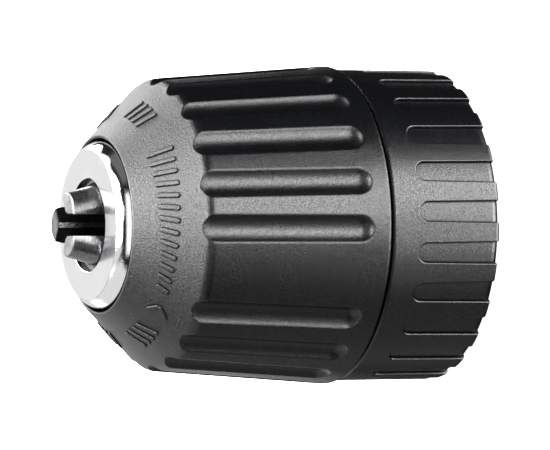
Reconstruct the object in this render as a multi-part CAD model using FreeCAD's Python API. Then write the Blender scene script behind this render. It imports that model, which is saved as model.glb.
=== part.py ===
import FreeCAD, Part
import math
import os

os.makedirs("parts", exist_ok=True)
V = FreeCAD.Vector

# ---------------------------------------------------------------- dimensions
# Keyless drill chuck, two sleeves, 0.8 to 10 mm.  Millimetres.  +Z runs along
# the spindle axis towards the nose; the origin is the centre of the rear face.

LENGTH = 50.0              # rear face to nose face
CAP_MIN = 0.8              # smallest shank gripped
CAP_MAX = 10.0             # largest shank gripped
OPEN_NOW = 3.65             # opening between the jaws as drawn

# spindle socket and tool bore
SPINDLE_R = 4.30           # 3/8-24 UNF socket, drawn at its tapping diameter
SPINDLE_DEPTH = 16.0
SPINDLE_CHAMFER = 0.7
BORE_R = 5.20              # clears a 10 mm shank

# jaws
JAW_ANGLE = 15.0           # inclination of a jaw's axis to the chuck axis
JAW_R = 2.70
JAW_AXIS_R_AT_NOSE = 2.82  # distance from a jaw's axis to the chuck axis at LENGTH
JAW_TIP_Z = 53.35
JAW_RELIEF_R = 2.38        # radius at the tip; the relief starts JAW_RELIEF_L behind it
JAW_RELIEF_L = 4.5
JAW_TIP_BREAK = 0.12       # edge break round the end face
JAW_LENGTH = 33.5          # along the jaw's axis
JAW_LAND = 0.65            # width of the gripping land
JAW_BORE_CLEAR = 0.05
JAW_THETA = (90.0, -30.0, -150.0)

# nut and jaw thread
PITCH = 1.5875             # 16 threads per inch
THREAD_H = 0.70            # ridge height
THREAD_ROOT_HALF = 0.50    # ridge half width where it leaves the nut
THREAD_TIP_HALF = 0.12
THREAD_PLAY = 0.15         # clearance round the ridge
NUT_Z0, NUT_Z1 = 26.10, 31.60
NUT_R = 14.60
NUT_FLANGE_R = 16.60
NUT_FLANGE_T = 1.50
BAND_R = 16.20
NOTCH_W, NOTCH_DEPTH, NOTCH_R = 4.20, 1.60, 13.10
NUT_SPLIT = 0.06

# thrust bearing
FLANGE_Z0, FLANGE_Z1, FLANGE_R = 18.20, 20.50, 15.90
SEAT_R = 13.90
THRUST_Z1 = 22.50
RACE_R0, RACE_R1 = 14.10, 16.60
BALL_R = 1.00
BALL_COUNT = 24
BALL_PITCH_R = 15.35
BALL_Z = 24.25
RACE_GAP = 0.80            # half the distance between the two races
RACE_PLAY = 0.03
CAGE_T = 0.90
CAGE_R0, CAGE_R1 = 14.00, 16.65

# body
BOSS_R, BOSS_Z = 11.0, 8.60
SHANK_R = 14.0
SEAT_END_Z = 25.65
NECK_R = 9.30
NECK_END_Z = 31.95
NOSE_FLANGE_R, NOSE_FLANGE_Z1 = 13.0, 36.0
NOSE_R, NOSE_Z0, NOSE_Z1 = 9.85, 40.6, 49.0

# rear sleeve
REAR_R = 20.80
REAR_EDGE_R = 0.60         # rounding of the rear edge
REAR_Z1 = 15.62
REAR_CAVITY_R = 17.20
RECESS_N = 24
RECESS_DEPTH = 0.42
RECESS_EDGE_R = 0.15        # rounding along the mouth of each recess
RECESS_Z1 = 11.75
RECESS_W_FRONT, RECESS_W_REAR = 2.60, 2.92
RECESS_THETA0 = -85.1      # one recess centre
SPIGOT_R, SPIGOT_Z1 = 17.50, 18.40
SPIGOT_R0 = 16.60
ORING_R, ORING_MINOR, ORING_Z = 17.32, 0.42, 17.35

# front sleeve
FRONT_Z0 = 16.12
FRONT_R0 = 21.25           # at the rear edge
FRONT_R1 = 19.27           # virtual corner of taper and cone
FRONT_CORNER_Z = 40.75
CONE_R1, CONE_Z1 = 11.75, 48.46
MOUTH_R = 11.42
MOUTH_Z0 = 44.50
HUB_R = 9.93
SLEEVE_BORE_R = 17.80
FLUTE_PITCHES = 21         # six flutes and one plain land, three times
FLUTE_PLAIN_THETA = 11.6   # middle of one plain land
FLUTE_W = 3.68
FLUTE_DEPTH = 0.80
FLUTE_REAR_Z = 18.65
FLUTE_EDGE_R = 0.20        # rounding along the mouth of each flute
SHOULDER_FILLET = 2.0

# liner
LINER_Z0, LINER_Z1 = 19.0, 33.0
LINER_R0 = 16.90
LINER_WEB_Z0, LINER_WEB_R = 32.0, 13.40
DOG_R1, DOG_W, DOG_Z0 = 14.50, 4.0, 30.25

# nose ring
RING_R = 11.05
RING_Z0 = 44.80
RING_RIM_Z = 48.35
RING_FACE_R = 9.88
RING_HOLE_R = 6.10
RING_HOLE_CHAMFER = 0.08
WASHER_T = 0.26

A = math.radians(JAW_ANGLE)
SA, CA, TA = math.sin(A), math.cos(A), math.tan(A)


# ------------------------------------------------------------------- helpers
def revolve(points):
    """Solid of revolution about Z from a closed (radius, z) outline."""
    pts = [V(r, 0, z) for r, z in points]
    wire = Part.makePolygon(pts + [pts[0]])
    return Part.Face(wire).revolve(V(0, 0, 0), V(0, 0, 1), 360)


def tube(r0, r1, z0, z1):
    return revolve([(r0, z0), (r1, z0), (r1, z1), (r0, z1)])


def ring_edges(shape, want):
    """Circular edges near each wanted (radius, z)."""
    out = []
    for e in shape.Edges:
        c = e.Curve
        if not isinstance(c, Part.Circle):
            continue
        for r, z in want:
            if abs(c.Radius - r) < 0.02 and abs(c.Center.z - z) < 0.02 \
                    and math.hypot(c.Center.x, c.Center.y) < 0.01:
                out.append(e)
    return out


def fillet(shape, radius, want):
    edges = ring_edges(shape, want)
    assert edges, want
    return shape.makeFillet(radius, edges)


def chamfer(shape, size, want):
    edges = ring_edges(shape, want)
    assert edges, want
    return shape.makeChamfer(size, edges)


def spin(shape, deg):
    s = shape.copy()
    s.rotate(V(0, 0, 0), V(0, 0, 1), deg)
    return s


def solid(shape):
    """The single solid of a result, cleaned of split faces where that holds."""
    clean = shape.copy().removeSplitter()
    if clean.isValid() and len(clean.Solids) == 1:
        shape = clean
    assert len(shape.Solids) == 1, len(shape.Solids)
    return shape.Solids[0]


def save(shape, name):
    assert shape.isValid(), name
    shape.exportStep("parts/" + name + ".step")
    b = shape.BoundBox
    print("%-20s solids %2d  vol %9.2f  x %7.2f %7.2f  y %7.2f %7.2f  z %7.2f %7.2f"
          % (name, len(shape.Solids), shape.Volume, b.XMin, b.XMax, b.YMin, b.YMax,
             b.ZMin, b.ZMax))


def jaw_axis_r(z):
    """Distance of a jaw's axis from the chuck axis at height z."""
    return JAW_AXIS_R_AT_NOSE + (LENGTH - z) * TA


def jaw_back_r(z):
    """Outermost radius of a jaw at height z."""
    return jaw_axis_r(z) + JAW_R / CA


def along_jaw(s):
    """(radius, z) of the point s along a jaw's axis, 0 at the nose face."""
    return JAW_AXIS_R_AT_NOSE - s * SA, LENGTH + s * CA


def inclined_cylinder(radius, s0, s1):
    """Cylinder on the axis of the jaw that lies towards +X."""
    r, z = along_jaw(s0)
    return Part.makeCylinder(radius, s1 - s0, V(r, 0, z), V(-SA, 0, CA))


S_TIP = (JAW_TIP_Z - LENGTH) / CA
S_REAR = S_TIP - JAW_LENGTH
TRAVEL_OPEN = (CAP_MAX - OPEN_NOW) / 2.0 / SA      # along the jaw's axis
TRAVEL_CLOSE = (OPEN_NOW - CAP_MIN) / 2.0 / SA


# ------------------------------------------------------------------ the body
def make_body():
    s = revolve([
        (SPINDLE_R, 0), (BOSS_R, 0), (BOSS_R, BOSS_Z), (SHANK_R, BOSS_Z),
        (SHANK_R, FLANGE_Z0), (FLANGE_R, FLANGE_Z0), (FLANGE_R, FLANGE_Z1),
        (SEAT_R, FLANGE_Z1), (SEAT_R, SEAT_END_Z), (NECK_R, SEAT_END_Z),
        (NECK_R, NECK_END_Z), (NOSE_FLANGE_R, NECK_END_Z),
        (NOSE_FLANGE_R, NOSE_FLANGE_Z1), (NOSE_R, NOSE_Z0), (NOSE_R, NOSE_Z1),
        (BORE_R, NOSE_Z1), (BORE_R, SPINDLE_DEPTH + 1.2), (SPINDLE_R, SPINDLE_DEPTH)])
    s = chamfer(s, SPINDLE_CHAMFER, [(SPINDLE_R, 0)])
    s = chamfer(s, 0.5, [(BOSS_R, 0)])
    s = chamfer(s, 0.3, [(SHANK_R, BOSS_Z), (FLANGE_R, FLANGE_Z0), (NOSE_FLANGE_R, NECK_END_Z)])
    s = chamfer(s, 0.4, [(BORE_R, NOSE_Z1)])
    # groove for the rear retaining clip
    s = s.cut(tube(BOSS_R - 0.6, BOSS_R + 1, 0.95, 1.85))
    bore = inclined_cylinder(JAW_R + JAW_BORE_CLEAR, S_REAR - TRAVEL_OPEN - 0.6, 9.0)
    for t in JAW_THETA:
        s = s.cut(spin(bore, t))
    return solid(s)


# ------------------------------------------------------------------- the jaw
def thread_profile(z_mid, r_line, play, out, into):
    """Ridge outline in the XZ plane: r_line(z) is the nut's root line.

    out  how far the outline reaches outside the root line
    into how far it reaches inside the root line
    """
    slope = (THREAD_ROOT_HALF - THREAD_TIP_HALF) / THREAD_H

    def half(depth):
        return THREAD_ROOT_HALF - slope * depth + play * math.hypot(1, slope)

    top = half(-out)
    low = half(into)
    rt, rl = r_line(z_mid) + out, r_line(z_mid) - into
    # the root line slopes by the jaw angle, so the outline is sheared with it
    def zr(r, dz):
        return V(r - dz * TA, 0, z_mid + dz)
    return [zr(rl, -low), zr(rt, -top), zr(rt, top), zr(rl, low)]


def nut_root_r(z):
    return jaw_back_r(z) + THREAD_PLAY


def make_jaw(theta):
    """A jaw, built towards +X, with the thread phase of its place round the nut."""
    s = inclined_cylinder(JAW_R, S_REAR, S_TIP - JAW_RELIEF_L)
    # ground relief round the tip, a slim cone on the jaw's own axis
    r, z = along_jaw(S_TIP - JAW_RELIEF_L)
    slope = (JAW_R - JAW_RELIEF_R) / JAW_RELIEF_L
    tip = Part.makeCone(JAW_R, JAW_R - slope * (JAW_RELIEF_L + 4.0), JAW_RELIEF_L + 4.0,
                        V(r, 0, z), V(-SA, 0, CA))
    s = s.fuse(tip)
    s = s.cut(Part.makeBox(30, 30, 20, V(-15, -15, JAW_TIP_Z)))
    # gripping V: everything nearer the chuck axis than the two flanks
    a = OPEN_NOW / 2.0
    w = JAW_LAND / 2.0
    t30 = math.tan(math.radians(30.0))
    big = 12.0
    pts = [V(a, -w, 0), V(a + (big - w) * t30, -big, 0), V(-30, -big, 0),
           V(-30, big, 0), V(a + (big - w) * t30, big, 0), V(a, w, 0), V(a, -w, 0)]
    wedge = Part.Face(Part.makePolygon(pts)).extrude(V(0, 0, JAW_TIP_Z + 5 - 20))
    wedge.translate(V(0, 0, 20))
    s = s.cut(wedge)
    # rear end edge, broken on a cone about the jaw's own axis
    r, z = along_jaw(S_REAR)
    cone = Part.makeCone(JAW_R - 0.5, JAW_R + 1.5, 2.0, V(r, 0, z), V(-SA, 0, CA))
    keep = cone.fuse(Part.makeCylinder(JAW_R + 1.5, JAW_LENGTH + 8,
                                       V(r - 2.0 * SA, 0, z + 2.0 * CA), V(-SA, 0, CA)))
    s = s.common(keep)
    # thread on the outer side, in step with the nut
    mid = (NUT_Z0 + NUT_Z1) / 2.0
    r_mid = nut_root_r(mid)
    lead = math.degrees(math.atan(PITCH / (2 * math.pi * r_mid)))
    phase = PITCH * theta / 360.0
    z_low = along_jaw(S_REAR)[1] - 1.5
    z_high = NUT_Z1 + TRAVEL_OPEN * CA + 0.8
    k = math.ceil((z_low - NUT_Z0 - phase) / PITCH)
    cutters = []
    while NUT_Z0 + phase + k * PITCH < z_high:
        zc = NUT_Z0 + phase + k * PITCH
        # ring at the nut's middle radius, moved out to this groove's place
        line = lambda zz: r_mid - (zz - mid) * TA
        pts = thread_profile(mid, line, THREAD_PLAY, 1.3, THREAD_H + THREAD_PLAY)
        face = Part.Face(Part.makePolygon(pts + [pts[0]]))
        face.rotate(V(0, 0, 0), V(0, 0, 1), -30)
        ring = face.revolve(V(0, 0, 0), V(0, 0, 1), 60)
        ring.translate(V(0, 0, -mid))
        ring.rotate(V(0, 0, 0), V(1, 0, 0), lead)
        ring.translate(V(nut_root_r(zc) - r_mid, 0, zc))
        cutters.append(ring)
        k += 1
    for c in cutters:
        s = s.cut(c)
    s = solid(s)
    rim = [e for e in s.Edges if e.Length > 0.3
           and all(abs(v.Z - JAW_TIP_Z) < 1e-5 for v in e.Vertexes)]
    s = solid(s.makeChamfer(JAW_TIP_BREAK, rim))
    return spin(s, theta)


# ------------------------------------------------------------------- the nut
def make_nut():
    z0, z1 = NUT_Z0, NUT_Z1
    base = revolve([(nut_root_r(z0), z0), (NUT_FLANGE_R, z0),
                    (NUT_FLANGE_R, z0 + NUT_FLANGE_T), (NUT_R, z0 + NUT_FLANGE_T),
                    (NUT_R, z1), (nut_root_r(z1), z1)])
    base = chamfer(base, 0.25, [(NUT_FLANGE_R, z0 + NUT_FLANGE_T)])
    # right-hand conical ridge; its middle is at NUT_Z0 on the +X side
    turns_before = 1.0
    zs = z0 - turns_before * PITCH
    height = (z1 - z0) + 2.0 * PITCH
    # the helix converges towards +Z
    r_start = nut_root_r(zs)
    helix = Part.makeHelix(PITCH, height, r_start, -JAW_ANGLE)
    helix.translate(V(0, 0, zs))
    pts = thread_profile(zs, nut_root_r, 0.0, 0.25, THREAD_H)
    prof = Part.makePolygon(pts + [pts[0]])
    mk = Part.BRepOffsetAPI.MakePipeShell(Part.Wire(helix.Edges))
    mk.setBiNormalMode(V(0, 0, 1))
    mk.add(prof)
    mk.build()
    mk.makeSolid()
    ridge = mk.shape()
    if ridge.Volume < 0:
        ridge.reverse()
    slab = tube(8.0, 15.0, z0 + 0.001, z1 - 0.001)
    ridge = ridge.common(slab)
    nut = base.fuse(ridge)
    notch = Part.makeBox(4.0, NOTCH_W, NOTCH_DEPTH + 1, V(NOTCH_R, -NOTCH_W / 2, z1 - NOTCH_DEPTH))
    for k in range(4):
        nut = nut.cut(spin(notch, 45 + 90 * k))
    return nut


def make_nut_halves():
    nut = make_nut()
    up = Part.makeBox(60, 30, 20, V(-30, NUT_SPLIT / 2, 20))
    dn = Part.makeBox(60, 30, 20, V(-30, -30 - NUT_SPLIT / 2, 20))
    return solid(nut.common(up)), solid(nut.common(dn))


def make_band():
    s = tube(NUT_R, BAND_R, NUT_Z0 + NUT_FLANGE_T, NUT_Z1 - 0.1)
    return solid(chamfer(s, 0.3, [(BAND_R, NUT_Z1 - 0.1), (BAND_R, NUT_Z0 + NUT_FLANGE_T)]))


# --------------------------------------------------------------- the bearing
def make_thrust_ring():
    s = tube(SEAT_R, RACE_R1, FLANGE_Z1, THRUST_Z1)
    return solid(chamfer(s, 0.3, [(RACE_R1, FLANGE_Z1)]))


def make_race(z0, z1):
    s = tube(RACE_R0, RACE_R1, z0, z1)
    return solid(s.cut(Part.makeTorus(BALL_PITCH_R, BALL_R + RACE_PLAY, V(0, 0, BALL_Z), V(0, 0, 1))))


def make_cage():
    s = tube(CAGE_R0, CAGE_R1, BALL_Z - CAGE_T / 2, BALL_Z + CAGE_T / 2)
    hole = Part.makeCylinder(BALL_R + 0.04, 4, V(BALL_PITCH_R, 0, BALL_Z - 2))
    holes = [spin(hole, 360.0 * k / BALL_COUNT) for k in range(BALL_COUNT)]
    return solid(s.cut(Part.makeCompound(holes)))


def make_balls():
    ball = Part.makeSphere(BALL_R, V(BALL_PITCH_R, 0, BALL_Z))
    return Part.makeCompound([spin(ball, 360.0 * k / BALL_COUNT) for k in range(BALL_COUNT)])


# ----------------------------------------------------------- the rear sleeve
def make_rear_sleeve():
    web0, web1 = 3.2, 6.2
    s = revolve([
        (BOSS_R, 2.9), (12.6, 2.9), (12.6, web0), (17.6, web0), (17.6, 0), (REAR_R, 0),
        (REAR_R, REAR_Z1), (SPIGOT_R, REAR_Z1), (SPIGOT_R, SPIGOT_Z1),
        (SPIGOT_R0, SPIGOT_Z1), (SPIGOT_R0, REAR_Z1 - 1.0), (REAR_CAVITY_R, REAR_Z1 - 1.8),
        (REAR_CAVITY_R, web1), (13.2, web1), (13.2, BOSS_Z - 0.6), (BOSS_R, BOSS_Z - 0.6)])
    s = fillet(s, REAR_EDGE_R, [(REAR_R, 0)])
    s = fillet(s, 0.3, [(17.6, 0)])
    s = fillet(s, 0.45, [(REAR_R, REAR_Z1)])
    s = chamfer(s, 0.25, [(SPIGOT_R, SPIGOT_Z1)])
    s = s.cut(Part.makeTorus(ORING_R, ORING_MINOR, V(0, 0, ORING_Z), V(0, 0, 1)))
    # shell that follows the outer surface at the recess depth
    d = RECESS_DEPTH
    shell = revolve([(REAR_R - d, 14), (REAR_R - d, 0.95), (REAR_R - d - 0.08, 0.52),
                     (REAR_R - d - 0.30, 0.16), (REAR_R - d - 0.66, -0.10), (REAR_R - d - 0.66, -0.3),
                     (23, -0.3), (23, 14)])
    zc = RECESS_Z1 - RECESS_W_FRONT / 2

    x, wf, wr = REAR_R - d - 1.0, RECESS_W_FRONT / 2, RECESS_W_REAR / 2
    a, b, c, e = V(x, -wr, -1), V(x, -wf, zc), V(x, wf, zc), V(x, wr, -1)
    arc = Part.Arc(b, V(x, 0, zc + wf), c).toShape()
    outline = Part.Wire([Part.makeLine(a, b), arc, Part.makeLine(c, e), Part.makeLine(e, a)])
    one = Part.Face(outline).extrude(V(d + 2.0, 0, 0)).common(shell)
    s = s.cut(Part.makeCompound([spin(one, RECESS_THETA0 + 360.0 * k / RECESS_N) for k in range(RECESS_N)]))
    # the mouths of the recesses lie on the outer cylinder
    mouths = [e for e in s.Edges if len(e.Vertexes) == 2 and not isinstance(e.Curve, Part.Circle)
              and all(abs(math.hypot(v.X, v.Y) - REAR_R) < 0.01 for v in e.Vertexes)]
    s = s.makeFillet(RECESS_EDGE_R, mouths)
    return solid(s)


def make_dust_cover():
    s = revolve([(BOSS_R + 0.05, 1.85), (17.5, 1.85), (17.5, 2.9), (12.9, 2.9), (BOSS_R + 0.05, 2.9)])
    s = chamfer(s, 0.3, [(17.5, 1.85)])
    # shallow pressed annular bead
    s = s.cut(tube(13.6, 16.0, 1.5, 2.1))
    return solid(s)


def make_clip():
    s = tube(BOSS_R - 0.55, BOSS_R + 1.25, 0.97, 1.83)
    gap = Part.makeBox(6, 5.0, 3, V(9, -2.5, 0))
    s = s.cut(spin(gap, 90))
    # lugs with plier holes, one each side of the gap
    for side in (-1, 1):
        a = 90 + side * 20.0
        lug = Part.makeCylinder(1.45, 0.86, V(BOSS_R + 1.6, 0, 0.97))
        hole = Part.makeCylinder(0.6, 3, V(BOSS_R + 1.75, 0, 0))
        s = s.fuse(spin(lug, a)).cut(spin(hole, a))
    s = s.cut(tube(BOSS_R - 3, BOSS_R - 0.55, 0.5, 2.5))
    return solid(s)


def make_oring():
    return Part.makeTorus(ORING_R, ORING_MINOR, V(0, 0, ORING_Z), V(0, 0, 1))


# ---------------------------------------------------------- the front sleeve
TAPER = (FRONT_R0 - FRONT_R1) / (FRONT_CORNER_Z - FRONT_Z0)


def taper_r(z):
    return FRONT_R0 - (z - FRONT_Z0) * TAPER


def make_flute():
    """Ball-ended round groove on the +X side."""
    half = FLUTE_W / 2
    r = (half * half + FLUTE_DEPTH * FLUTE_DEPTH) / (2 * FLUTE_DEPTH)
    ang = math.atan(TAPER)
    z = FLUTE_REAR_Z + half
    lift = (r - FLUTE_DEPTH) / math.cos(ang)
    start = V(taper_r(z) + lift, 0, z)
    d = V(-math.sin(ang), 0, math.cos(ang))
    cyl = Part.makeCylinder(r, 34, start, d)
    # the ball shares the cylinder's axis, so the two surfaces run on smoothly
    ball = Part.makeSphere(r, start, d)
    return cyl.fuse(ball)


def make_front_sleeve():
    s = revolve([
        (SLEEVE_BORE_R, FRONT_Z0), (FRONT_R0, FRONT_Z0),
        (FRONT_R1, FRONT_CORNER_Z), (CONE_R1, CONE_Z1), (MOUTH_R, CONE_Z1),
        (MOUTH_R, MOUTH_Z0), (HUB_R, MOUTH_Z0), (HUB_R, 41.8), (13.1, 41.8),
        (16.2, 38.6), (16.2, LINER_Z1), (SLEEVE_BORE_R, LINER_Z1)])
    s = fillet(s, 0.2, [(FRONT_R0, FRONT_Z0)])
    s = fillet(s, SHOULDER_FILLET, [(FRONT_R1, FRONT_CORNER_Z)])
    s = fillet(s, 0.14, [(CONE_R1, CONE_Z1)])
    s = fillet(s, 0.14, [(MOUTH_R, CONE_Z1)])
    tool = make_flute()
    step = 360.0 / FLUTE_PITCHES
    flutes = [spin(tool, FLUTE_PLAIN_THETA + k * step) for k in range(FLUTE_PITCHES) if k % 7]
    s = s.cut(Part.makeCompound(flutes))
    # the mouths of the flutes are the only free-form edges on the outside
    mouths = [e for e in s.Edges if isinstance(e.Curve, Part.BSplineCurve)
              and e.BoundBox.ZMin > 18.0
              and max(math.hypot(v.X, v.Y) for v in e.Vertexes) > 15.0]
    s = s.makeFillet(FLUTE_EDGE_R, mouths)
    return solid(s)


def make_liner():
    s = revolve([(LINER_R0, LINER_Z0), (SLEEVE_BORE_R, LINER_Z0), (SLEEVE_BORE_R, LINER_Z1),
                 (LINER_WEB_R, LINER_Z1), (LINER_WEB_R, LINER_WEB_Z0), (LINER_R0, LINER_WEB_Z0)])
    keep = tube(LINER_WEB_R, DOG_R1, DOG_Z0, LINER_WEB_Z0 + 0.5)
    for k in range(4):
        dog = Part.makeBox(4, DOG_W, 3, V(12, -DOG_W / 2, DOG_Z0))
        s = s.fuse(spin(dog, 45 + 90 * k).common(keep))
    return solid(s)


# -------------------------------------------------------------- the nose end
def make_nose_ring():
    # convex bevel between the rim and the flat face
    p0 = V(NOSE_R, 0, RING_Z0)
    pts = [p0, V(RING_R, 0, RING_Z0), V(RING_R, 0, RING_RIM_Z)]
    face_z = LENGTH
    mid = V((RING_R + RING_FACE_R) / 2 + 0.13, 0, (RING_RIM_Z + face_z) / 2 + 0.07)
    arc = Part.Arc(pts[2], mid, V(RING_FACE_R, 0, face_z)).toShape()
    c = RING_HOLE_CHAMFER
    rest = [V(RING_FACE_R, 0, face_z), V(RING_HOLE_R + c, 0, face_z), V(RING_HOLE_R, 0, face_z - c),
            V(RING_HOLE_R, 0, NOSE_Z1), V(NOSE_R, 0, NOSE_Z1), p0]
    edges = [Part.makeLine(pts[0], pts[1]), Part.makeLine(pts[1], pts[2]), arc]
    edges += [Part.makeLine(a, b) for a, b in zip(rest[:-1], rest[1:])]
    s = Part.Face(Part.Wire(edges)).revolve(V(0, 0, 0), V(0, 0, 1), 360)
    return solid(s)


def make_nose_washer():
    return tube(HUB_R, MOUTH_R - 0.2, RING_Z0 - WASHER_T, RING_Z0)


# ------------------------------------------------------------------- output
save(make_body(), "chuck_body")
save(make_rear_sleeve(), "rear_sleeve")
save(make_dust_cover(), "rear_dust_cover")
save(make_clip(), "rear_retaining_clip")
save(make_oring(), "sleeve_drag_ring")
save(make_thrust_ring(), "thrust_ring")
save(make_race(THRUST_Z1, BALL_Z - RACE_GAP), "bearing_race_rear")
save(make_race(BALL_Z + RACE_GAP, NUT_Z0), "bearing_race_front")
save(make_cage(), "bearing_cage")
save(make_balls(), "bearing_balls")
half_a, half_b = make_nut_halves()
save(half_a, "nut_half_a")
save(half_b, "nut_half_b")
save(make_band(), "nut_band")
save(make_front_sleeve(), "front_sleeve")
save(make_liner(), "front_sleeve_liner")
save(make_nose_ring(), "nose_ring")
save(make_nose_washer(), "nose_washer")
for n, theta in enumerate(JAW_THETA):
    save(make_jaw(theta), "jaw_%d" % (n + 1))
print("jaw travel forward %.3f back %.3f" % (TRAVEL_CLOSE, TRAVEL_OPEN))
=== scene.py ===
import bpy
import bmesh
import math
from mathutils import Matrix, Vector


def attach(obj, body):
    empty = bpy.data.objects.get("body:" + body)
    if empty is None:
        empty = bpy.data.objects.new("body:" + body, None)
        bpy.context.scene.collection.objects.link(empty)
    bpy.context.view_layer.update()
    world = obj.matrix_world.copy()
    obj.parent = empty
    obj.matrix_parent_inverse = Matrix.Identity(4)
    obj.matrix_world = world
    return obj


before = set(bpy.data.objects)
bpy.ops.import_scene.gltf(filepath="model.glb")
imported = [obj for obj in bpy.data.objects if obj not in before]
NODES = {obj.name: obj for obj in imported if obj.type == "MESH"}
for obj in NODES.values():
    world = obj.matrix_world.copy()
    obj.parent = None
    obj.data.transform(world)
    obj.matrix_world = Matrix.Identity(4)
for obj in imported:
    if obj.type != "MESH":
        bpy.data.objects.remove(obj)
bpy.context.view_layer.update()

MM = 0.001


# ------------------------------------------------------------------ node help
class Tree:
    """Short calls for building one material's nodes."""

    def __init__(self, name):
        self.mat = bpy.data.materials.new(name)
        self.mat.use_nodes = True
        self.nt = self.mat.node_tree
        self.nt.nodes.clear()
        self.out = self.nt.nodes.new("ShaderNodeOutputMaterial")

    def put(self, socket, value):
        if isinstance(value, bpy.types.NodeSocket):
            self.nt.links.new(value, socket)
        elif isinstance(value, (tuple, list)) and len(value) == 3 and socket.type == "RGBA":
            socket.default_value = (*value, 1.0)
        else:
            socket.default_value = value

    def node(self, kind, inputs=None, **props):
        n = self.nt.nodes.new("ShaderNode" + kind)
        for k, v in props.items():
            setattr(n, k, v)
        for k, v in (inputs or {}).items():
            self.put(n.inputs[k], v)
        return n

    def coords(self):
        return self.node("TexCoord").outputs["Object"]

    def normal(self):
        return self.node("TexCoord").outputs["Normal"]

    def scaled(self, vector, sx, sy, sz):
        return self.node("Mapping", {"Vector": vector, "Scale": (sx, sy, sz)}).outputs[0]

    def noise(self, vector, scale, detail=2.0, rough=0.5, out="Fac", **more):
        n = self.node("TexNoise", {"Vector": vector, "Scale": scale, "Detail": detail,
                                   "Roughness": rough}, **more)
        return n.outputs[out]

    def dot(self, a, b):
        return self.node("VectorMath", {0: a, 1: b}, operation="DOT_PRODUCT").outputs["Value"]

    def math(self, op, a, b=0.0, c=0.0, clamp=False):
        n = self.node("Math", {0: a, 1: b, 2: c}, operation=op)
        n.use_clamp = clamp
        return n.outputs[0]

    def ramp(self, x, lo, hi, to_lo=0.0, to_hi=1.0, smooth=True):
        n = self.node("MapRange", {"Value": x, "From Min": lo, "From Max": hi,
                                   "To Min": to_lo, "To Max": to_hi},
                      interpolation_type="SMOOTHSTEP" if smooth else "LINEAR")
        return n.outputs[0]

    def mix(self, fac, a, b):
        n = self.node("Mix", data_type="RGBA")
        self.put(n.inputs[0], fac)
        self.put(n.inputs[6], a)
        self.put(n.inputs[7], b)
        return n.outputs[2]

    def blend(self, fac, a, b):
        n = self.node("Mix", data_type="FLOAT")
        self.put(n.inputs[0], fac)
        self.put(n.inputs[2], a)
        self.put(n.inputs[3], b)
        return n.outputs[0]

    def bump(self, height, strength, distance, normal=None):
        d = {"Height": height, "Strength": strength, "Distance": distance}
        if normal is not None:
            d["Normal"] = normal
        return self.node("Bump", d).outputs[0]

    def crease_shade(self, distance, lo, hi):
        """Ambient-occlusion mask for painted shade: 1 on open surface, falling to 0 in tight inside corners."""
        n = self.node("AmbientOcclusion", {"Distance": distance}, samples=8)
        return self.ramp(n.outputs["AO"], lo, hi)

    def finish(self, **inputs):
        b = self.node("BsdfPrincipled", {k.replace("_", " "): v for k, v in inputs.items()})
        self.nt.links.new(b.outputs[0], self.out.inputs[0])
        return self.mat


# ------------------------------------------------------------------ materials
def plastic(name, grain_from=None):
    """Satin black moulded plastic. Above grain_from (metres along Z) the surface carries a coarse spark-eroded grain."""
    t = Tree(name)
    p = t.coords()
    z = t.node("SeparateXYZ", {0: p}).outputs[2]
    coarse = t.ramp(z, grain_from - 0.0004, grain_from + 0.0010) if grain_from else 0.0
    grain = t.noise(p, 4700.0, 3.0, 0.66)
    fine = t.noise(p, 7000.0, 2.0, 0.6)
    cloud = t.noise(p, 170.0, 2.0, 0.5)
    amount = t.math("MULTIPLY_ADD", coarse, 0.72, 0.36) if grain_from else 0.36
    if grain_from:                               # the flutes' mouths run out softly
        soft = t.node("Bevel", {0: t.math("MULTIPLY_ADD", coarse, -0.00045, 0.00045)}, samples=6).outputs[0]
        n1 = t.bump(grain, amount, 0.00008, soft)
    else:
        n1 = t.bump(grain, amount, 0.00006)
    n2 = t.bump(fine, 0.45, 0.00003, n1)
    rough = t.ramp(cloud, 0.3, 0.7, -0.015, 0.015, smooth=False)
    rough = t.math("ADD", rough, t.math("MULTIPLY_ADD", coarse, 0.05, 0.27) if grain_from else 0.27)
    tint = t.mix(t.ramp(grain, 0.3, 0.75), (0.0004, 0.0005, 0.0008), (0.0011, 0.0013, 0.0019))
    # painted shade: an ambient-occlusion mask darkens tight inside corners to near black and dulls their shine
    clear_of_crease_shade = t.crease_shade(0.00045, 0.55, 0.93)
    tint = t.mix(clear_of_crease_shade, (0.0003, 0.0003, 0.0003), tint)
    shine_and_crease_shade = t.blend(clear_of_crease_shade, 0.06, t.ramp(grain, 0.30, 0.70, 0.36, 0.72))
    return t.finish(Base_Color=tint, Roughness=rough, Normal=n2, Specular_IOR_Level=shine_and_crease_shade, IOR=1.5)


def turned_metal(name, colour, rough, ring_scale=2600.0, depth=0.000004, dark=0.10, pit=0.12):
    """Lathe-turned and plated or polished metal: faint rings about Z."""
    t = Tree(name)
    p = t.coords()
    sx = t.node("SeparateXYZ", {0: p})
    r = t.math("SQRT", t.math("ADD", t.math("MULTIPLY", sx.outputs[0], sx.outputs[0]),
                              t.math("MULTIPLY", sx.outputs[1], sx.outputs[1])))
    rz = t.node("CombineXYZ", {0: r, 1: sx.outputs[2], 2: 0.0}).outputs[0]
    rings = t.noise(rz, ring_scale, 3.0, 0.65)
    scratch = t.noise(p, 1900.0, 4.0, 0.6)
    cloud = t.noise(p, 260.0, 3.0, 0.6)
    n1 = t.bump(rings, 0.35, depth)
    n2 = t.bump(scratch, pit, 0.00002, n1)
    rr = t.math("ADD", rough, t.ramp(cloud, 0.3, 0.72, -0.03, 0.04))
    rr = t.math("ADD", rr, t.ramp(rings, 0.35, 0.7, 0.0, 0.04))
    deep = tuple(c * (1 - dark) for c in colour)
    tint = t.mix(t.ramp(scratch, 0.3, 0.75), deep, colour)
    return t.finish(Base_Color=tint, Metallic=1.0, Roughness=rr, Normal=n2)


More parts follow.
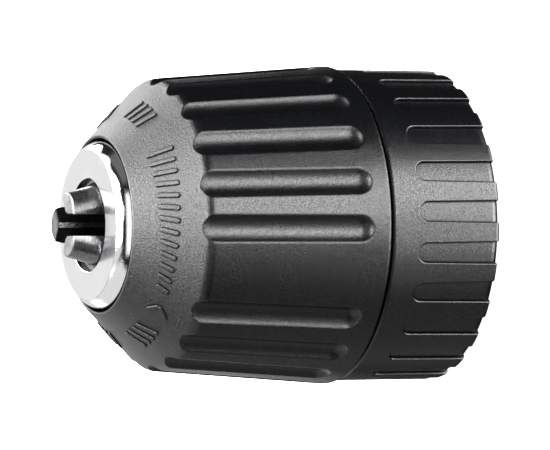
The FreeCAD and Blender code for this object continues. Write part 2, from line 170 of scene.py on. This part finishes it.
def plated_ring(name, face_r):
    """Bright plate: satin turned face inside face_r (metres), polished and slightly rippled bevel outside it."""
    t = Tree(name)
    p = t.coords()
    sx = t.node("SeparateXYZ", {0: p})
    r = t.math("SQRT", t.math("ADD", t.math("MULTIPLY", sx.outputs[0], sx.outputs[0]),
                              t.math("MULTIPLY", sx.outputs[1], sx.outputs[1])))
    bevel = t.ramp(r, face_r - 0.00008, face_r + 0.00002)
    rings = t.noise(t.node("CombineXYZ", {0: r, 1: sx.outputs[2], 2: 0.0}).outputs[0], 2600.0, 3.0, 0.65)
    ripple = t.noise(p, 3600.0, 3.0, 0.75)
    cloud = t.noise(p, 260.0, 3.0, 0.6)
    n1 = t.bump(rings, 0.35, 0.000004)
    n2 = t.bump(ripple, t.math("MULTIPLY_ADD", bevel, 0.62, 0.08), 0.00002, n1)
    rough = t.blend(bevel, t.ramp(cloud, 0.3, 0.7, 0.17, 0.21), t.ramp(cloud, 0.3, 0.7, 0.045, 0.07))
    tint = t.mix(t.ramp(ripple, 0.3, 0.75), (0.84, 0.84, 0.85), (0.92, 0.92, 0.925))
    # a fine dark line painted where the plate turns over the edge: a painted dark reflection
    edge = t.math("MULTIPLY", t.ramp(r, face_r - 0.00002, face_r + 0.00004), t.ramp(r, face_r + 0.00014, face_r + 0.00006))
    tint = t.mix(t.math("MULTIPLY", edge, 0.35), tint, (0.30, 0.30, 0.31))
    # painted shade: the wall of the hole is painted dull and dark
    inner = t.ramp(r, 0.00615, 0.00610)
    tint = t.mix(inner, tint, (0.05, 0.05, 0.052))
    return t.finish(Base_Color=tint, Metallic=1.0, Roughness=rough, Normal=n2)


def body_metal(name):
    """Machined steel, painted dark in its bores and jaw slots as painted shade, brighter on the faces that look along
    Z.
    """
    t = Tree(name)
    p = t.coords()
    n = t.normal()
    sx = t.node("SeparateXYZ", {0: p})
    r = t.math("SQRT", t.math("ADD", t.math("MULTIPLY", sx.outputs[0], sx.outputs[0]),
                              t.math("MULTIPLY", sx.outputs[1], sx.outputs[1])))
    rings = t.noise(t.node("CombineXYZ", {0: r, 1: sx.outputs[2], 2: 0.0}).outputs[0], 1500.0, 3.0, 0.65)
    cloud = t.noise(p, 300.0, 3.0, 0.6)
    end = t.ramp(t.math("ABSOLUTE", t.dot(n, (0.0, 0.0, 1.0))), 0.75, 0.95)
    # painted shade: bore walls near the axis are darkened, but not faces that look along Z
    inside = t.math("MULTIPLY", t.ramp(r, 0.00640, 0.00610), t.math("SUBTRACT", 1.0, end))
    tint = t.mix(t.ramp(rings, 0.3, 0.75), (0.16, 0.16, 0.165), (0.26, 0.26, 0.265))
    tint = t.mix(inside, tint, (0.035, 0.035, 0.036))
    # painted shade in tight inside corners
    tint = t.mix(t.crease_shade(0.0006, 0.45, 0.85), (0.03, 0.03, 0.03), tint)
    rough = t.ramp(cloud, 0.3, 0.7, 0.36, 0.46)
    return t.finish(Base_Color=tint, Metallic=1.0, Roughness=rough, Normal=t.bump(rings, 0.35, 0.00001))


def ground_metal(name, colour, rough, scale=1500.0, stretch=(1.0, 1.0, 12.0), depth=0.000006, dark=0.25):
    """Ground steel: short parallel lines across the part."""
    t = Tree(name)
    p = t.coords()
    lines = t.noise(t.scaled(p, *stretch), scale, 3.0, 0.65)
    cloud = t.noise(p, 480.0, 3.0, 0.6)
    n1 = t.bump(lines, 0.45, depth)
    rr = t.math("ADD", rough, t.ramp(cloud, 0.3, 0.7, -0.04, 0.06))
    deep = tuple(c * (1 - dark) for c in colour)
    tint = t.mix(t.ramp(lines, 0.3, 0.75), deep, colour)
    tint = t.mix(t.ramp(cloud, 0.45, 0.85, 0.0, 0.4), tint, deep)
    return t.finish(Base_Color=tint, Metallic=1.0, Roughness=rr, Normal=n1)


def jaw_metal(name, theta, tip):
    """Ground jaw: bright outside, tip face of brightness tip (painted light), gripping flanks painted near black as
    painted shade, worn grey land between them.
    """
    t = Tree(name)
    p = t.coords()
    a = math.radians(theta)
    n = t.normal()
    facing = t.dot(n, (math.cos(a), math.sin(a), 0.0))
    flank = t.ramp(facing, -0.45, -0.60)
    land = t.ramp(facing, -0.93, -0.97)
    end = t.ramp(t.dot(n, (0.0, 0.0, 1.0)), 0.85, 0.95)
    # lines left by grinding, across the jaw
    lines = t.noise(t.scaled(p, 1.0, 1.0, 9.0), 1300.0, 3.0, 0.65)
    grit = t.noise(p, 5200.0, 3.0, 0.7)
    cloud = t.noise(p, 620.0, 3.0, 0.6)
    bright = t.mix(t.ramp(lines, 0.3, 0.72), (0.10, 0.10, 0.104), (0.24, 0.24, 0.245))
    bright = t.mix(t.ramp(cloud, 0.5, 0.85, 0.0, 0.5), bright, (0.13, 0.13, 0.135))
    # painted light: the tip face's brightness tip is set per jaw, lower on jaw_1, with cloudy mottling
    worn_and_lit_end = t.mix(t.ramp(cloud, 0.35, 0.70), (tip * 0.8, tip * 0.8, tip * 0.81), (tip, tip, tip * 1.01))
    bright = t.mix(end, bright, worn_and_lit_end)
    # painted shade: the gripping flanks, which face each other, are painted near black
    black = t.mix(grit, (0.006, 0.006, 0.007), (0.020, 0.020, 0.021))
    # the land is worn bright at the tip and darkens towards the back
    z = t.node("SeparateXYZ", {0: p}).outputs[2]
    back = t.ramp(z, 0.0495, 0.0530, 0.12, 1.0)
    worn = t.mix(t.math("MULTIPLY", t.ramp(grit, 0.35, 0.65), back), (0.025, 0.025, 0.026), (0.48, 0.48, 0.49))
    tint = t.mix(land, t.mix(flank, bright, black), worn)
    rough = t.blend(flank, t.math("ADD", 0.28, t.ramp(cloud, 0.3, 0.7, -0.05, 0.06)), 0.45)
    height = t.blend(flank, lines, grit)
    n1 = t.bump(height, 0.5, 0.000009)
    return t.finish(Base_Color=tint, Metallic=1.0, Roughness=rough, Normal=n1)


def rubber(name):
    t = Tree(name)
    p = t.coords()
    g = t.noise(p, 2400.0, 3.0, 0.6)
    tint = t.mix(g, (0.012, 0.012, 0.012), (0.028, 0.028, 0.029))
    return t.finish(Base_Color=tint, Roughness=t.ramp(g, 0.2, 0.8, 0.62, 0.8), Normal=t.bump(g, 0.3, 0.00003))


FRONT_PLASTIC = plastic("front_plastic", 0.0408)
REAR_PLASTIC = plastic("rear_plastic")
PLATED = plated_ring("plated_steel", 0.00985)
# the tip value is painted light on each jaw's tip face: 0.24 on jaw_1, 0.46 on the others
JAWS = [jaw_metal("jaw_steel_%d" % (i + 1), th, tip)
        for i, (th, tip) in enumerate(((90.0, 0.24), (-30.0, 0.46), (-150.0, 0.46)))]
BODY = body_metal("body_steel")
BEARING = turned_metal("bearing_steel", (0.74, 0.74, 0.76), 0.14)
PHOSPHATE = ground_metal("phosphated_steel", (0.13, 0.13, 0.135), 0.5, 1200.0, (1, 1, 1), 0.00001)
ZINC = turned_metal("zinc_steel", (0.24, 0.25, 0.27), 0.44, 900.0, 0.00001, 0.30, 0.30)
BRASS = turned_metal("cage_brass", (0.72, 0.53, 0.25), 0.28, 1200.0, 0.00001, 0.2)
RUBBER = rubber("drag_rubber")

FINISH = {
    "chuck_body": BODY, "rear_sleeve": REAR_PLASTIC, "rear_dust_cover": ZINC,
    "rear_retaining_clip": PHOSPHATE, "sleeve_drag_ring": RUBBER, "thrust_ring": BODY,
    "bearing_race_rear": BEARING, "bearing_race_front": BEARING, "bearing_cage": BRASS,
    "bearing_balls": BEARING, "nut_half_a": PHOSPHATE, "nut_half_b": PHOSPHATE,
    "nut_band": ZINC, "front_sleeve": FRONT_PLASTIC, "front_sleeve_liner": ZINC,
    "nose_ring": PLATED, "nose_washer": BEARING, "jaw_1": JAWS[0], "jaw_2": JAWS[1], "jaw_3": JAWS[2],
}
for name, obj in NODES.items():
    obj.data.materials.clear()
    obj.data.materials.append(FINISH[name])

# -------------------------------------------------------- marks on the cone
# Plain raised symbols moulded on the cone: a graded row of bars, chevrons and slanted bars. Lengths are millimetres
# along the cone from its mouth.
CONE_A = (11.98, 48.23)        # radius, z at the mouth
CONE_B = (19.27, 40.75)        # radius, z at the shoulder
CONE_LEN = math.hypot(CONE_B[0] - CONE_A[0], CONE_A[1] - CONE_B[1])
CONE_NR = (CONE_A[1] - CONE_B[1]) / CONE_LEN
CONE_NZ = (CONE_B[0] - CONE_A[0]) / CONE_LEN


def on_cone(along, around, lift):
    """Point and axes on the cone; around is degrees from the -Y side, towards -X."""
    r = CONE_A[0] + (CONE_B[0] - CONE_A[0]) * along / CONE_LEN + lift * CONE_NR
    z = CONE_A[1] + (CONE_B[1] - CONE_A[1]) * along / CONE_LEN + lift * CONE_NZ
    a = math.radians(-90.0 - around)
    return Vector((r * math.cos(a), r * math.sin(a), z))


def cone_normal(around):
    a = math.radians(-90.0 - around)
    return Vector((CONE_NR * math.cos(a), CONE_NR * math.sin(a), CONE_NZ))


def ridge(bm, path, half_width, height, sink=0.06):
    """Raised rounded ridge along (along, around) points, with round ends, closed underneath."""
    pts = [on_cone(s, w, -sink) for s, w in path]
    nor = [cone_normal(w) for s, w in path]
    n = len(pts)
    # distance along the path, to taper the two ends
    dist = [0.0]
    for i in range(1, n):
        dist.append(dist[-1] + (pts[i] - pts[i - 1]).length)
    total = dist[-1]
    stations = []
    cap = [0.0, 0.06, 0.18, 0.38, 0.65, 1.0]
    for c in cap[1:]:
        stations.append((c * half_width, math.sqrt(1 - (1 - c) ** 2)))
    inner = max(2, int((total - 2 * half_width) / 0.12))
    for k in range(1, inner):
        stations.append((half_width + (total - 2 * half_width) * k / inner, 1.0))
    for c in reversed(cap[1:]):
        stations.append((total - c * half_width, math.sqrt(1 - (1 - c) ** 2)))

    def at(d):
        d = min(max(d, 0.0), total)
        i = 0
        while i < n - 2 and dist[i + 1] < d:
            i += 1
        f = (d - dist[i]) / max(1e-9, dist[i + 1] - dist[i])
        # a smooth direction from the points either side
        pos = pts[i].lerp(pts[i + 1], f)
        nn = nor[i].lerp(nor[i + 1], f).normalized()
        lo, hi = max(0, i - 0), min(n - 1, i + 1)
        t0 = (pts[hi] - pts[lo]).normalized()
        if f < 0.5 and i > 0:
            t1 = (pts[i] - pts[i - 1]).normalized()
            t0 = (t0 * (0.5 + f) + t1 * (0.5 - f)).normalized()
        elif f >= 0.5 and i < n - 2:
            t1 = (pts[i + 2] - pts[i + 1]).normalized()
            t0 = (t0 * (1.5 - f) + t1 * (f - 0.5)).normalized()
        return pos, nn, t0

    seg = 20
    rings = []
    for d, k in stations:
        pos, nn, tt = at(d)
        side = tt.cross(nn).normalized()
        ring = []
        for j in range(seg):
            a = 2 * math.pi * j / seg
            c, up = math.cos(a), math.sin(a)
            # steep sides and a nearly flat top
            across = math.copysign(abs(c) ** 0.45, c)
            up = math.copysign(abs(up) ** 0.45, up)
            h = up * (height + sink) if up > 0 else up * sink * 0.5
            ring.append(bm.verts.new((pos + side * (across * half_width * k) + nn * (h * min(1.0, 1.6 * k))) * MM))
        rings.append(ring)
    for a, b in zip(rings[:-1], rings[1:]):
        for j in range(seg):
            bm.faces.new((a[j], a[(j + 1) % seg], b[(j + 1) % seg], b[j]))
    for ring, d, flip in ((rings[0], 0.0, True), (rings[-1], total, False)):
        tipv = bm.verts.new(at(d)[0] * MM)
        for j in range(seg):
            v = (ring[(j + 1) % seg], ring[j], tipv) if flip else (ring[j], ring[(j + 1) % seg], tipv)
            bm.faces.new(v)


def line(p, q, steps=8):
    return [(p[0] + (q[0] - p[0]) * i / steps, p[1] + (q[1] - p[1]) * i / steps) for i in range(steps + 1)]


def build_marks():
    bm = bmesh.new()
    for turn in (0.0, 180.0):
        # graded row, long bars to short ones
        count = 13
        for k in range(count):
            w = turn - 38.0 + 70.5 * k / (count - 1)
            mid = 4.75
            half = 1.95 - 0.085 * k
            ridge(bm, line((mid - half, w - 1.0), (mid + half, w + 1.0)), 0.34, 0.24)
        # chevron
        ridge(bm, line((3.5, turn + 48.0), (5.0, turn + 42.5)), 0.28, 0.22)
        ridge(bm, line((5.0, turn + 42.5), (6.5, turn + 48.0)), 0.28, 0.22)
        # slanted bars, four and four
        for k in range(4):
            w = turn + 61.0 + 4.8 * k
            ridge(bm, line((3.3, w + 2.2), (6.5, w - 2.2)), 0.30, 0.22)
        for k in range(4):
            w = turn - 80.0 + 5.4 * k
            ridge(bm, line((3.3, w), (6.5, w + 3.0)), 0.31, 0.22)
    bmesh.ops.recalc_face_normals(bm, faces=bm.faces)
    mesh = bpy.data.meshes.new("cone_marks")
    bm.to_mesh(mesh)
    bm.free()
    mesh.shade_smooth()
    ob = bpy.data.objects.new("cone_marks", mesh)
    bpy.context.scene.collection.objects.link(ob)
    mesh.materials.append(FRONT_PLASTIC)
    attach(ob, "sleeve")
    return ob


build_marks()


# ---------------------------------------------------------------------- stage
def white_floor():
    t = Tree("floor_white")
    p = t.coords()
    g = t.noise(p, 30.0, 2.0, 0.5)
    diffuse = t.node("BsdfDiffuse", {"Color": t.mix(g, (0.86, 0.86, 0.86), (0.89, 0.89, 0.89))})
    glow = t.node("Emission", {"Color": (1.0, 1.0, 1.0), "Strength": 1.0})
    add = t.node("AddShader", {0: diffuse.outputs[0], 1: glow.outputs[0]})
    clear = t.node("BsdfTransparent")
    back = t.node("NewGeometry").outputs["Backfacing"]
    mix = t.node("MixShader", {0: back, 1: add.outputs[0], 2: clear.outputs[0]})
    t.nt.links.new(mix.outputs[0], t.out.inputs[0])
    return t.mat


bpy.ops.mesh.primitive_plane_add(size=6.0, location=(0, 0, -0.00002))
floor = bpy.context.object
floor.name = "floor"
floor.data.materials.append(white_floor())
floor.visible_glossy = False
floor.visible_shadow = False
floor.visible_diffuse = False

FILL = 0.02
world = bpy.data.worlds.new("studio")
bpy.context.scene.world = world
world.use_nodes = True
wn = world.node_tree
wn.nodes.clear()
wo = wn.nodes.new("ShaderNodeOutputWorld")
cam_bg = wn.nodes.new("ShaderNodeBackground")
cam_bg.inputs[0].default_value = (1, 1, 1, 1)
cam_bg.inputs[1].default_value = 1.0
fill_bg = wn.nodes.new("ShaderNodeBackground")
fill_bg.name = "fill"
fill_bg.inputs[0].default_value = (1, 1, 1, 1)
fill_bg.inputs[1].default_value = FILL
lp = wn.nodes.new("ShaderNodeLightPath")
wm = wn.nodes.new("ShaderNodeMixShader")
wn.links.new(lp.outputs["Is Camera Ray"], wm.inputs[0])
wn.links.new(fill_bg.outputs[0], wm.inputs[1])
wn.links.new(cam_bg.outputs[0], wm.inputs[2])
wn.links.new(wm.outputs[0], wo.inputs[0])

TARGET = Vector((0, 0, 0.028))


def softbox(name, around, elevation, distance, width, height, radiance):
    """Area light seen from the object at an angle round Z from the -Y side, towards +X, and an elevation."""
    a, e = math.radians(around), math.radians(elevation)
    d = Vector((math.cos(e) * math.sin(a), -math.cos(e) * math.cos(a), math.sin(e)))
    light = bpy.data.lights.new(name, "AREA")
    light.shape = "RECTANGLE"
    light.size, light.size_y = width, height
    light.energy = radiance * math.pi * width * height
    ob = bpy.data.objects.new(name, light)
    bpy.context.scene.collection.objects.link(ob)
    ob.location = TARGET + d * distance
    # its width lies level, whatever the elevation
    east = Vector((math.cos(a), math.sin(a), 0))
    north = d.cross(east)
    m = Matrix((east, north, d)).transposed()
    ob.rotation_mode = "QUATERNION"
    ob.rotation_quaternion = m.to_quaternion()
    ob.visible_camera = False
    return ob


SOFTBOXES = [
    # name, around, elevation, distance, width, height, radiance
    ("low_front", 14, -45, 0.6, 0.56, 0.235, 14.5),
    ("low_front_edge", 14, -8, 0.6, 0.42, 0.20, 11.5),
    ("low_side", 28, -25, 0.6, 0.34, 0.235, 6.0),
    ("low_rear", 30, -65, 0.6, 0.60, 0.235, 9.0),
    ("low_fill", -27, -25, 0.6, 0.30, 0.235, 1.2),
    ("top_front", 0, 70, 0.6, 0.36, 0.30, 8.5),
    ("top_left", 60, 75, 0.6, 0.36, 0.235, 18.0),
    ("left_high", 45, 60, 0.6, 0.36, 0.20, 12.0),
    ("left_far", 90, 55, 0.6, 0.36, 0.235, 12.5),
    ("left_back", 135, 55, 0.6, 0.36, 0.235, 6.0),
    ("left_low", 125, 36, 0.6, 0.26, 0.20, 6.0),
    ("top_back", 180, 65, 0.6, 0.36, 0.40, 7.0),
    ("kicker", 150, 15, 0.6, 0.277, 0.235, 11.0),
    ("rim_strip", 2, 27, 0.6, 0.95, 0.225, 1.15),
    ("left_dim", 85, 12, 0.6, 0.55, 0.42, 0.13),
    ("back_low", 168, -8, 0.6, 0.30, 0.34, 1.0),
    ("right_top", -72, 66, 0.6, 0.50, 0.34, 0.75),
    ("right", -108, 24, 0.6, 1.15, 0.72, 0.78),
    ("right_floor", -85, -27, 0.6, 0.90, 0.34, 0.30),
    ("right_low", -155, -4, 0.6, 0.50, 0.45, 0.75),
    ("behind", 180, 25, 0.8, 0.60, 0.50, 0.80),
]
for box in SOFTBOXES:
    softbox(*box)

# --------------------------------------------------------------------- camera
AZ = 0.431780847
SEAM = (6.4768, -0.0051, -614.4)          # seam centre in camera axes, mm
SEAM_Z = 15.872
sa, ca = math.sin(AZ), math.cos(AZ)
right, up, back = Vector((0, -sa, -ca)), Vector((1, 0, 0)), Vector((0, -ca, sa))
spot = Vector((0, 0, SEAM_Z)) - (right * SEAM[0] + up * SEAM[1] + back * SEAM[2])
cam_data = bpy.data.cameras.new("camera")
cam_data.sensor_width = 36.0
cam_data.lens = 4595.246 * 36.0 / 550.0
cam_data.clip_start, cam_data.clip_end = 0.05, 20.0
camera = bpy.data.objects.new("camera", cam_data)
bpy.context.scene.collection.objects.link(camera)
m = Matrix((right, up, back)).transposed().to_4x4()
m.translation = spot * MM
camera.matrix_world = m
bpy.context.scene.camera = camera

view = bpy.context.scene.view_settings
view.view_transform = "Standard"
view.look = "None"
